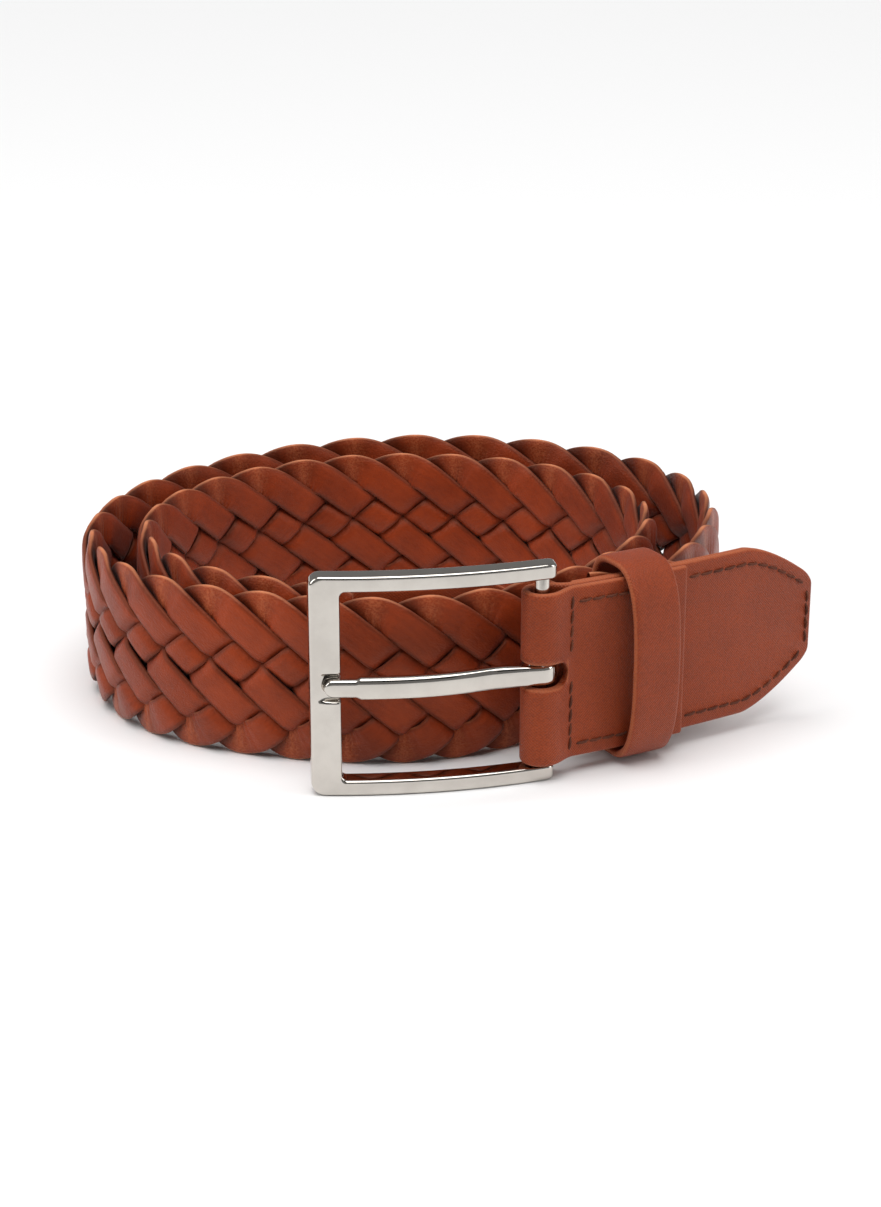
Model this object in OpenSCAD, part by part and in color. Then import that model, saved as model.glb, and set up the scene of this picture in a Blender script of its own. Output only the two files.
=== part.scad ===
// Flat-braided leather belt, coiled in two turns and standing on its edge, with its buckle at the front.
// Millimetres. +Z up, floor at Z = 0, the buckle faces -Y.

/* [Strap] */
// Width of the braided strap across its scalloped edges
strap_w = 35; // [28:0.5:42]
// Thickness of the braid, two strand layers
strap_t = 4.5; // [3:0.1:6]
// Number of flat leather strands in the braid, fixed by the over-two-under-one weave
strands = 7; // [7:1:7]
// Width of one strand
strand_w = 5.9; // [4:0.1:7]
// Thickness of one strand at its middle
strand_t = 1.8; // [1:0.05:2.5]
// Height of the strap's middle where the coil stands on the floor
strap_z = 17.6; // [17:0.1:22]
// Scallop pitch along the edge: [distance along the strap, pitch]
pitches = [[0, 14.6], [205, 15.0], [285, 11.2], [372, 10.8], [440, 12.2], [695, 11.4]];

/* [Coil] */
// Where the braid starts, behind the buckle tab [x, y]
coil_start = [28.78, -46.01];
// Heading of the strap in plan, degrees, by distance along it: two turns and a bit
turns = [[0, 26.6], [10, 28.6], [26, 66.9], [43, 73.6], [60, 81.5], [86, 107.9], [115, 144.1],
         [144, 168.9], [173, 193.6], [202, 214.8], [231, 235.5], [260, 263.4], [289, 301.3],
         [318, 338.7], [347, 354.1], [376, 390.3], [405, 411.3], [434, 441.4], [463, 488.6],
         [492, 521.2], [521, 548.0], [550, 576.2], [579, 607.9], [608, 650.9], [637, 693.3],
         [666, 718.0], [695, 761.0]];
// Distance along the strap at which the braid ends inside the tip tab
braid_end = 676; // [660:1:690]

/* [Buckle] */
// Axis of the hinge bar in plan [x, y]
bar_xy = [19.4, -56.3];
// Height of the buckle's middle, half its own height
buckle_z = 22.25; // [20:0.1:26]
// Height of the frame, top to bottom
frame_h = 44.5; // [38:0.5:50]
// Hinge bar axis to the outside of the far bar
frame_l = 44.8; // [36:0.2:55]
// Width of the far bar in the frame's plane
far_bar_w = 6; // [4:0.1:8]
// Width of the two arms in the frame's plane
arm_w = 3.2; // [2.5:0.1:5]
// Depth of the frame front to back
frame_d = 4.4; // [3:0.1:6]
// How far the frame bows forward at its middle
frame_bow = 2.2; // [0:0.1:5]
// Swing of the frame in the rest pose, from +X, seen from above
frame_yaw = 188; // [180:1:200]
// Hinge bar radius
bar_r = 1.5; // [1:0.05:2.5]
// Prong height (its width in the frame's plane)
prong_w = 4.4; // [3:0.1:6]
// Prong thickness
prong_t = 2.4; // [1.5:0.1:4]

/* [Buckle tab] */
// Leather thickness of the folded tab
tab_t = 1.6; // [1:0.1:2.5]
// Height of the folded tab
tab_h = 35.4; // [28:0.2:42]
// Height of the tongue's middle above the floor
tab_z = 21.4; // [18:0.1:24]
// Heading of the tab where it leaves the hinge bar, degrees
tab_heading = 24; // [0:1:45]
// Bend of the tab, degrees for each millimetre
tab_bend = 0.2; // [0:0.05:0.5]
// Distance from the bar to the front flap's cut end
flap_end = 31.6; // [25:0.1:45]
// Distance from the bar to the tip of the tongue
tongue_end = 65.5; // [50:0.5:80]
// Where the tongue starts to taper
taper_start = 48; // [40:0.5:60]
// Half height of the tongue's blunt tip
tip_half = 7.5; // [4:0.1:12]
// Thickness of the lining under the tongue
lining_t = 1.2; // [0.8:0.1:2]
// Height of the prong slot through the fold
slot_h = 5.2; // [4:0.1:8]
// Distance from the bar to the end of the prong slot
slot_end = 4.6; // [4:0.1:12]

/* [Keeper] */
// Distance from the bar to the keeper's middle
keeper_at = 21.7; // [20:0.1:28]
// Width of the keeper loop along the strap
keeper_w = 10.5; // [8:0.5:16]
// Leather thickness of the keeper
keeper_t = 1.4; // [1:0.1:2]
// Outside height of the keeper
keeper_h = 40.8; // [38:0.1:46]
// Outside depth of the keeper
keeper_d = 18.4; // [12:0.1:22]

/* [Tip tab] */
// Distance along the strap at which the tip tab starts
tip_start = 662; // [650:1:675]
// Length of the tip tab
tip_l = 40; // [30:1:50]
// Height of the tip tab
tip_h = 34.6; // [28:0.2:36]
// Thickness of each tip ply
tip_t = 1.3; // [0.8:0.1:2]

/* [Thread] */
// Thread radius
thread_r = 0.38; // [0.2:0.02:0.6]
// Stitch length, hole to hole
stitch = 2.9; // [2:0.1:4]
// Distance of the stitch rows from the leather's edge
inset = 3.0; // [2:0.1:5]

/* [Hidden] */
$fn = 48;

cognac = [0.50, 0.22, 0.10];
tan_leather = [0.56, 0.27, 0.13];
nickel = [0.80, 0.80, 0.78];
thread_brown = [0.24, 0.12, 0.07];

slack = 0.05;                 // air between plies that are stitched together
flap_w = tab_t / 2 + 0.1;     // middle of each flap, in front of and behind the tab's line
step = 3.5;                   // path step

// ---- the strap's plan path -------------------------------------------------------------------
path_n = ceil(707 / step);
path = [for (i = 0, p = coil_start; i <= path_n;
             h = lookup((i + 0.5) * step, turns), p = p + step * [cos(h), sin(h)], i = i + 1) p];
path_x = [for (i = [0:path_n]) [i * step, path[i][0]]];
path_y = [for (i = [0:path_n]) [i * step, path[i][1]]];
function rise(s) = let (t = min(max(s / 95, 0), 1)) 3.7 * (1 - t * t * (3 - 2 * t));
// A point at distance s along the strap, v above its middle, w outwards from the coil
function strap_pt(s, v, w) = let (h = lookup(s, turns))
    [lookup(s, path_x) + w * sin(h), lookup(s, path_y) - w * cos(h), strap_z + rise(s) + v];

// ---- the braid ---------------------------------------------------------------------------------
// Scallops counted along the strap, and the distance at which each count falls
count_ds = 5;
counts = [for (i = 0, n = 0; i * count_ds <= 720; n = n + count_ds / lookup((i + 0.5) * count_ds, pitches),
               i = i + 1) [n, i * count_ds]];
function s_at(n) = lookup(n, counts);
function count_at(s) = [for (i = [1:len(counts) - 1]) if (counts[i][1] >= s && counts[i - 1][1] < s)
    counts[i - 1][0] + (s - counts[i - 1][1]) * (counts[i][0] - counts[i - 1][0]) / count_ds][0];
n_end = count_at(braid_end);
crossings = 2 * strands;      // crossings and turns in one period of a strand
zig = 15.6;                     // half height of a strand's zig-zag before its corners are rounded
layer = (strap_t - strand_t) / 2;
// Over (1) or under (-1) at each crossing, 0 at the two edges
weave = [0, 1, 1, -1, 1, 1, -1, 0, 1, -1, -1, 1, -1, -1, 0];
// Ring positions in one half period, closer together round the corner
rings = [0, 0.22, 0.5, 1, 2, 3, 4, 5, 6, 6.5, 6.78];
// Height of a strand's middle at m crossings from a top corner, the corner rounded
function corner(d) = d < 0.5 ? (d * d + 0.25) : d;
function zig_v(m) = let (d = m < 3.5 ? m : abs(m - 7), e = m > 10.5 ? 14 - m : d)
    m < 3.5 || m > 10.5 ? zig * (1 - corner(e) * 2 / 7)
    : m > 3.5 && m < 10.5 ? -zig * (1 - corner(d) * 2 / 7) : 0;
function weave_w(m) = let (i = floor(m)) layer * (weave[i] + (m - i) * (weave[min(i + 1, 14)] - weave[i]));
function strand_rings(k) = [for (j = [-2:2 * ceil(n_end / strands) + 1]) for (r = rings)
    let (m = (j % 2 != 0 ? 7 : 0) + r, n = k + (j * 7 + r) / 2) if (n > 0.02 && n < n_end - 0.02) [n, m]];
module strand(k) {
    list = concat([[0, ((0 - k) * 2 + 28) % 14]], strand_rings(k), [[n_end, ((n_end - k) * 2) % 14]]);
    c = len(list);
    pts = [for (a = list) let (s = s_at(a[0]), v = zig_v(a[1]), w = weave_w(a[1]),
        s2 = s_at(a[0] + 0.01), v2 = zig_v((a[1] + 0.02) % 14), s1 = s_at(a[0] - 0.01 < 0 ? 0 : a[0] - 0.01),
        v1 = a[0] < 0.01 ? v : zig_v((a[1] - 0.02 + 14) % 14),
        t = atan2(v2 - v1, s2 - s1), ds = -sin(t) * strand_w / 2, dv = cos(t) * strand_w / 2)
        each [strap_pt(s + ds, v + dv, w), strap_pt(s, v, w + strand_t / 2),
              strap_pt(s - ds, v - dv, w), strap_pt(s, v, w - strand_t / 2)]];
    sides = [for (i = [0:c - 2]) for (q = [0:3]) let (a = 4 * i + q, b = 4 * i + (q + 1) % 4)
        each [[a, b + 4, b], [a, a + 4, b + 4]]];
    polyhedron(points = pts, faces = concat([[1, 2, 3], [0, 1, 3]], sides,
        [[4 * c - 2, 4 * c - 3, 4 * c - 4], [4 * c - 1, 4 * c - 2, 4 * c - 4]]));
}
module strand_1() { color(cognac) strand(0); }
module strand_2() { color(cognac) strand(1); }
module strand_3() { color(cognac) strand(2); }
module strand_4() { color(cognac) strand(3); }
module strand_5() { color(cognac) strand(4); }
module strand_6() { color(cognac) strand(5); }
module strand_7() { color(cognac) strand(6); }

// ---- the buckle, in its own frame: x towards the far bar, y to the front ---------------------
module at_buckle() { translate([bar_xy[0], bar_xy[1], buckle_z]) rotate([0, 0, frame_yaw]) children(); }
function bow(x) = let (t = x / frame_l) frame_bow * 4 * t * (1 - t) + 0.6 * t;
// A closed ribbon of thickness t along a list of [x, y] points
function normal(p, i) = let (a = p[max(i - 1, 0)], b = p[min(i + 1, len(p) - 1)], d = b - a)
    [-d[1], d[0]] / norm(d);
module ribbon(p, t) {
    polygon(concat([for (i = [0:len(p) - 1]) p[i] + normal(p, i) * t / 2],
                   [for (i = [len(p) - 1:-1:0]) p[i] - normal(p, i) * t / 2]));
}
function bow_line(x0, x1, n) = [for (i = [0:n]) let (x = x0 + (x1 - x0) * i / n) [x, bow(x)]];
module rounded(x0, x1, h, r) {
    hull() for (x = [x0 + r, x1 - r]) for (z = [-h / 2 + r, h / 2 - r]) translate([x, z]) circle(r = r);
}
module buckle_frame() {
    color(nickel) at_buckle() difference() {
        intersection() {
            translate([0, 0, -frame_h / 2]) linear_extrude(height = frame_h)
                ribbon(bow_line(-2.8, frame_l, 24), frame_d);
            rotate([90, 0, 0]) translate([0, 0, -20]) linear_extrude(height = 40) difference() {
                rounded(-2.7, frame_l - 0.1, frame_h, 2);
                rounded(-30, frame_l - 0.1 - far_bar_w, frame_h - 2 * arm_w, 1.2);
            }
        }
        cylinder(r = bar_r, h = frame_h - 1.6, center = true);
        // the rest for the prong's tip
        translate([frame_l - 10.4, bow(frame_l) + frame_d / 2 + 0.1, 0]) cube([16, 2.6, 5.6], center = true);
    }
}
module hinge_bar() {
    color(nickel) at_buckle() cylinder(r = bar_r, h = frame_h - 1.6, center = true);
}
prong_y = bow(frame_l) + frame_d / 2 - 1.2 + slack * 2 + prong_t / 2;   // middle of the tip in its rest
function prong_line(n) = [for (i = [0:n]) let (t = i / n, x = 2.6 + (frame_l - 2.8 - 2.6) * t)
    [x, prong_y * t + 3.6 * sin(180 * t) * (1 - 0.35 * t)]];
module prong() {
    color(nickel) at_buckle() difference() {
        union() {
            intersection() {
                translate([0, 0, -prong_w / 2]) linear_extrude(height = prong_w)
                    ribbon(prong_line(22), prong_t);
                rotate([90, 0, 0]) translate([0, 0, -20]) linear_extrude(height = 40) union() {
                    translate([0, -prong_w / 2]) square([frame_l - 6.1, prong_w]);
                    translate([frame_l - 6.6, 0]) scale([1.7, 1]) circle(r = prong_w / 2);
                }
            }
            cylinder(r = bar_r + 1.5, h = prong_w - 0.4, center = true);
        }
        cylinder(r = bar_r + 0.06, h = prong_w + 2, center = true);
    }
}

// ---- the buckle tab, along its own line ---------------------------------------------------------
tab_step = 1;
tab_pts = [for (i = 0, p = bar_xy; i <= 72;
                h = tab_heading + tab_bend * (i + 0.5) * tab_step, p = p + tab_step * [cos(h), sin(h)],
                i = i + 1) p];
tab_x = [for (i = [0:72]) [i * tab_step, tab_pts[i][0]]];
tab_y = [for (i = [0:72]) [i * tab_step, tab_pts[i][1]]];
function tab_h_at(q) = tab_heading + tab_bend * q;
// A plan point q along the tab from the bar and w in front of its line
function tab_pt(q, w) = let (h = tab_h_at(q))
    [lookup(q, tab_x) + w * sin(h), lookup(q, tab_y) - w * cos(h)];
module on_tab(q, w, v) {
    p = tab_pt(q, w);
    translate([p[0], p[1], tab_z + v]) rotate([0, 0, tab_h_at(q)]) children();
}
fold_r = bar_r + 0.9 + tab_t / 2;       // middle of the leather where it wraps the bar
fold_out = 6.5;                          // where the flaps come together
function blend(t) = t * t * (3 - 2 * t);
function flap_off(q) = flap_w + (fold_r - flap_w) * (1 - blend(min(max((q - 0.5) / (fold_out - 0.5), 0), 1)));
tab_line = concat(
    [for (i = [0:26]) let (q = flap_end - i * (flap_end - 0.5) / 26) tab_pt(q, flap_off(q))],
    [for (i = [1:15]) let (a = tab_heading - 90 - i * 180 / 16) bar_xy + fold_r * [cos(a), sin(a)]],
    [for (i = [0:40]) let (q = 0.5 + i * (tongue_end - 0.5) / 40) tab_pt(q, -flap_off(q))]);
// Half height of the tongue at q along the tab, h at its root
function tongue_half(q, h) = let (t = min(max((q - taper_start) / (tongue_end - taper_start), 0), 1))
    h - (h - tip_half) * pow(t, 1.45);
module tongue_outline(h, q_end, q0) {   // side view, x along the tab from the taper's middle
    n = 14;
    offset(r = 1.2) offset(delta = -1.2)
    polygon(concat([[q0, -h], [q0, h]],
        [for (i = [0:n]) let (q = taper_start + (q_end - taper_start) * i / n) [q, tongue_half(q, h)]],
        [for (i = [n:-1:0]) let (q = taper_start + (q_end - taper_start) * i / n) [q, -tongue_half(q, h)]]));
}
taper_mid = (taper_start + tongue_end) / 2;
module tongue_cut(h, q_end, q0) {
    on_tab(taper_mid, 0, 0) translate([-taper_mid, 30, 0]) rotate([90, 0, 0])
        linear_extrude(height = 60) tongue_outline(h, q_end, q0);
}
module buckle_tab() {
    color(tan_leather) difference() {
        intersection() {
            translate([0, 0, tab_z - tab_h / 2]) linear_extrude(height = tab_h) ribbon(tab_line, tab_t);
            tongue_cut(tab_h / 2, tongue_end, -30);
        }
        // the slot the prong swings in, open round the fold
        translate([bar_xy[0], bar_xy[1], buckle_z]) rotate([0, 0, tab_heading]) {
            translate([-12, -8, -slot_h / 2]) cube([12 + slot_end - slot_h / 2, 16, slot_h]);
            translate([slot_end - slot_h / 2, 8, 0]) rotate([90, 0, 0]) cylinder(r = slot_h / 2, h = 16);
        }
    }
}
lining_w = -(flap_w + tab_t / 2 + slack + lining_t / 2);
module tongue_lining() {
    color(tan_leather) intersection() {
        translate([0, 0, tab_z - tab_h / 2 + 0.2]) linear_extrude(height = tab_h - 0.4)
            ribbon([for (i = [0:32]) tab_pt(7.4 + i * (tongue_end - 7.6) / 32, lining_w)], lining_t);
        tongue_cut(tab_h / 2 - 0.3, tongue_end - 0.3, 0);
    }
}

// ---- the keeper ---------------------------------------------------------------------------------
keeper_mid = -1.9;                       // its middle lies behind the tab's line, round the braid too
function oval(a, b, e, n) = [for (i = [0:n - 1]) let (t = 360 * i / n, c = cos(t), s = sin(t))
    [a * sign(c) * pow(abs(c), 2 / e), b * sign(s) * pow(abs(s), 2 / e)]];
module keeper_loop() {
    color(tan_leather) on_tab(keeper_at, keeper_mid, 0) rotate([90, 0, 90])
        translate([0, 0, -keeper_w / 2]) linear_extrude(height = keeper_w) difference() {
            polygon(oval(keeper_d / 2, keeper_h / 2, 4, 64));
            polygon(oval(keeper_d / 2 - keeper_t, keeper_h / 2 - keeper_t, 4.4, 64));
        }
}
module keeper_staple() {                  // closes the loop where its ends meet, behind the braid
    color(nickel) on_tab(keeper_at, keeper_mid, 0) translate([0, keeper_d / 2 + 0.45, 0]) {
        rotate([0, 90, 0]) cylinder(r = 0.4, h = 7, center = true);
    }
}

// ---- the stitching ------------------------------------------------------------------------------
thread_l = stitch * 0.74;
seat = thread_r + 0.03;
// One stitch lying on the front of the tab: q along it, v up it, w the face it lies on, turned by a
module one_stitch(q, v, w, a) {
    on_tab(q, w + seat, v) rotate([0, a + 90, 0])
        cylinder(r = thread_r, h = thread_l, center = true, $fn = 16);
}
col_q = 5.4;
module bar_stitching() {
    color(thread_brown) for (i = [-5:5]) if (abs(i * stitch + tab_z - buckle_z) > slot_h / 2 + 1)
        one_stitch(col_q, i * stitch, flap_off(col_q) + tab_t / 2 + 0.14, 80);
}
row_n = floor((flap_end - 2 - col_q - 1.5) / stitch);
module flap_row(v) {
    for (i = [0:row_n - 1]) let (q = col_q + 1.6 + (i + 0.5) * stitch)
        one_stitch(q, v, flap_off(q - 1) + tab_t / 2, -4);
}
module flap_stitching_top() { color(thread_brown) flap_row(tab_h / 2 - inset); }
module flap_stitching_bottom() { color(thread_brown) flap_row(-tab_h / 2 + inset); }
// Points of the tongue's U-shaped row, a stitch length apart
function u_half(q) = min(tongue_half(q, tab_h / 2) - inset, tongue_half(q + 2.6, tab_h / 2) - 1.2);
u_q = [for (q = flap_end + 1.6, i = 0; q < tongue_end - inset;
            q = q + stitch * cos(atan2(u_half(q + 1) - u_half(q), 1)), i = i + 1) q];
module tongue_stitching() {
    w = -flap_w + tab_t / 2;
    color(thread_brown) {
        for (i = [0:len(u_q) - 2]) for (s = [-1, 1]) {
            q = (u_q[i] + u_q[i + 1]) / 2;
            one_stitch(q, s * (u_half(u_q[i]) + u_half(u_q[i + 1])) / 2, w,
                       -s * atan2(u_half(u_q[i + 1]) - u_half(u_q[i]), u_q[i + 1] - u_q[i]));
        }
        for (i = [-1.5:1:1.5]) one_stitch(tongue_end - inset, i * stitch, w, 90);
    }
}

// ---- the tip tab at the coil's inner end ---------------------------------------------------------
tip_grip = strap_t / 2 + slack * 2 + tip_t / 2;   // each ply's middle where the braid lies between
tip_close = tip_t / 2 + slack;
function tip_off(s) = let (t = min(max((s - braid_end - 0.5) / 9, 0), 1))
    tip_close + (tip_grip - tip_close) * (1 - blend(t));
function tip_line(side) = [for (i = [0:28]) let (s = tip_start + tip_l * i / 28,
    p = strap_pt(s, 0, side * tip_off(s))) [p[0], p[1]]];
tip_mid = tip_start + tip_l - 12;
module at_tip(s, w, v) { p = strap_pt(s, v, w); translate(p) rotate([0, 0, lookup(s, turns)]) children(); }
module tip_outline() {
    h = tip_h / 2;
    offset(r = 1.2) offset(delta = -1.2)
    polygon(concat([[-60, -h], [-60, h]],
        [for (i = [0:12]) let (t = i / 12) [-5 + 16.5 * t, h - (h - tip_half) * pow(t, 1.45)]],
        [for (i = [12:-1:0]) let (t = i / 12) [-5 + 16.5 * t, -h + (h - tip_half) * pow(t, 1.45)]]));
}
module tip_ply(side) {
    intersection() {
        translate([0, 0, strap_z - tip_h / 2]) linear_extrude(height = tip_h) ribbon(tip_line(side), tip_t);
        at_tip(tip_mid, 0, 0) translate([0, 25, 0]) rotate([90, 0, 0])
            linear_extrude(height = 50) tip_outline();
    }
}
module tip_tab_outer() { color(tan_leather) tip_ply(1); }
module tip_tab_inner() { color(tan_leather) tip_ply(-1); }
module tip_stitching() {
    color(thread_brown) for (i = [0:8]) for (v = [-1, 1])
        let (s = tip_start + 3 + i * stitch)
        at_tip(s, tip_off(s) + tip_t / 2 + seat + 0.25, v * (tip_h / 2 - inset))
            rotate([0, 90, 0]) cylinder(r = thread_r, h = thread_l, center = true, $fn = 16);
}

strand_1();
strand_2();
strand_3();
strand_4();
strand_5();
strand_6();
strand_7();
buckle_frame();
hinge_bar();
prong();
buckle_tab();
tongue_lining();
keeper_loop();
keeper_staple();
bar_stitching();
flap_stitching_top();
flap_stitching_bottom();
tongue_stitching();
tip_tab_outer();
tip_tab_inner();
tip_stitching();
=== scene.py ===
import math

import bmesh
import bpy
import numpy as np
from mathutils import Matrix, Vector


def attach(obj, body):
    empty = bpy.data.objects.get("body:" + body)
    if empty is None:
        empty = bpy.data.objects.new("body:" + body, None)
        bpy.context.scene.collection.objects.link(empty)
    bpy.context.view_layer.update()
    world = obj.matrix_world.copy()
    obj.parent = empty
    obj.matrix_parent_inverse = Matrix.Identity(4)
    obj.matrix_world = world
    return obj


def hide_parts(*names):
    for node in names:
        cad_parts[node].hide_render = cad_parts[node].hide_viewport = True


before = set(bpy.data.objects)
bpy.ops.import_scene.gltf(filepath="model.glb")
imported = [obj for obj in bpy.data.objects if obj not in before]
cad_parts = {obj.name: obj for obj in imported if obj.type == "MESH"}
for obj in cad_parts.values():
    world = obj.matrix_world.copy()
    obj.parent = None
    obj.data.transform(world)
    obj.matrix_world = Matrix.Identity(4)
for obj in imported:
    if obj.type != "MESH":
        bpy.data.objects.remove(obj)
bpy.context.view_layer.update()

# ---- Camera and stage ---------------------------------------------------------------------------
# The belt stands on a pale table between two soft windows and under a broad ceiling light. One
# dark card in front gives the polished nickel something to reflect.
scene = bpy.context.scene
eye = bpy.data.cameras.new("eye")
eye.lens, eye.sensor_width = 70.02, 36.0
eye.clip_start, eye.clip_end = 0.02, 20
camera = bpy.data.objects.new("camera", eye)
camera.location = (0.0001, -0.4750, 0.18845)
camera.rotation_euler = (math.radians(70), 0, 0)
scene.collection.objects.link(camera)
scene.camera = camera
scene.view_settings.view_transform = "Standard"


class Wire:
    """A node socket that takes part in ordinary arithmetic."""

    def __init__(self, tree, socket):
        self.tree, self.socket = tree, socket

    def _sum(self, kind, *others):
        n = self.tree.nodes.new("ShaderNodeMath")
        n.operation = kind
        for i, o in enumerate((self, *others)):
            if isinstance(o, Wire):
                self.tree.links.new(o.socket, n.inputs[i])
            else:
                n.inputs[i].default_value = o
        return Wire(self.tree, n.outputs[0])

    def __add__(self, o): return self._sum("ADD", o)
    def __sub__(self, o): return self._sum("SUBTRACT", o)
    def __mul__(self, o): return self._sum("MULTIPLY", o)
    def __truediv__(self, o): return self._sum("DIVIDE", o)
    def __radd__(self, o): return self._sum("ADD", o)
    def __rsub__(self, o): return (self * -1) + o
    def __pow__(self, o): return self._sum("POWER", o)
    def sine(self): return self._sum("SINE")
    def least(self, o): return self._sum("MINIMUM", o)
    def most(self, o): return self._sum("MAXIMUM", o)
    def size(self): return self._sum("ABSOLUTE")


class Bench:
    """Where a node tree is put together, one node a call."""

    def __init__(self, tree):
        self.tree = tree

    def feed(self, n, **sockets):
        """Links wires to a node's sockets, and sets the rest; i3 stands for the fourth socket."""
        for k, v in sockets.items():
            numbered = k[0] == "i" and k[1:].isdigit()
            s = n.inputs[int(k[1:]) if numbered else k.replace("_", " ")]
            if isinstance(v, Wire):
                self.tree.links.new(v.socket, s)
            else:
                s.default_value = v

    def node(self, kind, settings=None, out=0, **sockets):
        n = self.tree.nodes.new(kind)
        for k, v in (settings or {}).items():
            setattr(n, k, v)
        self.feed(n, **sockets)
        self.last = n
        return Wire(self.tree, n.outputs[out])

    def vector(self, kind, v, **other):
        return self.node("ShaderNodeVectorMath", {"operation": kind}, i0=v, **other)

    def attribute(self, name, out=2):
        """A value stored on the mesh: out is 1 for a vector and 2 for a number."""
        return self.node("ShaderNodeAttribute", {"attribute_name": name}, out=out)

    def mix(self, t, a, b):
        """Colour a where t is 0 and colour b where t is 1."""
        return self.node("ShaderNodeMix", {"data_type": "RGBA", "clamp_factor": True}, out=2,
                         i0=t, i6=(*a, 1) if isinstance(a, tuple) else a,
                         i7=(*b, 1) if isinstance(b, tuple) else b)

    def bands(self, value, low, high):
        """0 below low, 1 above high, smooth between."""
        return self.node("ShaderNodeMapRange", {"interpolation_type": "SMOOTHSTEP", "clamp": True},
                         Value=value, From_Min=low, From_Max=high, To_Min=0.0, To_Max=1.0)


def finish_for(name):
    """A new material, its bench and its shader."""
    m = bpy.data.materials.new(name)
    m.use_nodes = True
    shader = m.node_tree.nodes["Principled BSDF"]
    return m, Bench(m.node_tree), shader


def table_top():
    material, b, s = finish_for("pale_table")
    b.feed(s, Base_Color=(0.88, 0.88, 0.88, 1), Roughness=0.55)
    mesh = bpy.data.meshes.new("table_top")
    w = 3.0
    mesh.from_pydata([(-w, -w, 0), (w, -w, 0), (w, w, 0), (-w, w, 0)], [], [(0, 1, 2, 3)])
    mesh.materials.append(material)
    o = bpy.data.objects.new("table_top", mesh)
    scene.collection.objects.link(o)


table_top()
sky = bpy.data.worlds.new("studio")
sky.use_nodes = True
# a dim room round the set, with a white backdrop behind it
air = Bench(sky.node_tree)
seen = air.node("ShaderNodeLightPath")
air.feed(sky.node_tree.nodes["Background"], Color=(1, 1, 1, 1), Strength=seen * 0.80 + 0.22)
scene.world = sky


def soft_light(name, at, to, wide, power):
    lamp = bpy.data.lights.new(name, "AREA")
    lamp.shape, lamp.size, lamp.size_y, lamp.energy = "RECTANGLE", wide[0], wide[1], power
    o = bpy.data.objects.new(name, lamp)
    o.location = at
    o.rotation_mode = "QUATERNION"
    o.rotation_quaternion = (Vector(to) - Vector(at)).to_track_quat("-Z", "Y")
    scene.collection.objects.link(o)


soft_light("window_left", (-0.85, -0.20, 0.45), (0, 0, 0.02), (0.5, 0.6), 2.6)
soft_light("window_right", (0.85, -0.22, 0.40), (0, 0, 0.02), (0.35, 0.6), 2.2)
lamp = bpy.data.lights.new("ceiling", "SUN")
lamp.energy, lamp.angle = 3.0, math.radians(60)
ceiling = bpy.data.objects.new("ceiling", lamp)
ceiling.rotation_mode = "QUATERNION"
ceiling.rotation_quaternion = Vector((0.05, 0.16, -1.0)).to_track_quat("-Z", "Y")
scene.collection.objects.link(ceiling)


def dark_card(name, at, to, wide):
    material, b, s = finish_for(name)
    b.feed(s, Base_Color=(0.01, 0.01, 0.01, 1), Roughness=0.9)
    mesh = bpy.data.meshes.new(name)
    x, y = wide[0] / 2, wide[1] / 2
    mesh.from_pydata([(-x, -y, 0), (x, -y, 0), (x, y, 0), (-x, y, 0)], [], [(0, 1, 2, 3)])
    turn = (Vector(to) - Vector(at)).to_track_quat("Z", "Y").to_matrix().to_4x4()
    mesh.transform(Matrix.Translation(at) @ turn)
    mesh.materials.append(material)
    o = bpy.data.objects.new(name, mesh)
    o.visible_camera = False
    scene.collection.objects.link(o)


dark_card("card_front", (0.0, -0.95, 0.72), (0, 0, 0.02), (1.3, 0.42))


def outward(o):
    """Turns every face of a closed shell to face out."""
    bm = bmesh.new()
    bm.from_mesh(o.data)
    bmesh.ops.recalc_face_normals(bm, faces=bm.faces)
    bm.to_mesh(o.data)
    bm.free()


def mesh_piece(name, verts, faces, material, body, node):
    """A closed mesh at the origin that rides on a body and replaces a CAD node."""
    mesh = bpy.data.meshes.new(name)
    mesh.from_pydata([tuple(v) for v in verts], [], [tuple(int(i) for i in f) for f in faces])
    mesh.validate()
    mesh.materials.append(material)
    mesh.polygons.foreach_set("use_smooth", [True] * len(mesh.polygons))
    o = bpy.data.objects.new(name, mesh)
    scene.collection.objects.link(o)
    settle(o, body, node)
    outward(o)
    return o


def settle(o, body, node):
    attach(o, body)
    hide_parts(node)


# ---- The strap's route --------------------------------------------------------------------------
# One flat band of braid about 0.7 m long, wound in about two turns on its edge. It leaves the
# tab a few millimetres off the table, because the buckle is taller, and sinks to it round the side.
# Each pair below is a distance along it in mm and its heading there in degrees.
TURNS = [[0, 26.6], [10, 28.6], [26, 66.9], [43, 73.6], [60, 81.5], [86, 107.9], [115, 144.1],
         [144, 168.9], [173, 193.6], [202, 214.8], [231, 235.5], [260, 263.4], [289, 301.3],
         [318, 338.7], [347, 354.1], [376, 390.3], [405, 411.3], [434, 441.4], [463, 488.6],
         [492, 521.2], [521, 548.0], [550, 576.2], [579, 607.9], [608, 650.9], [637, 693.3],
         [666, 718.0], [695, 761.0]]
turn_s, turn_deg = np.array(TURNS, float).T
START_X, START_Y, STRAP_Z = 28.78, -46.01, 17.6
FINE, EASED_OVER = 0.5, 41
route_s = np.arange(-3, 712, FINE)
route_head = np.radians(np.interp(route_s + FINE / 2, turn_s, turn_deg))
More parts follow.
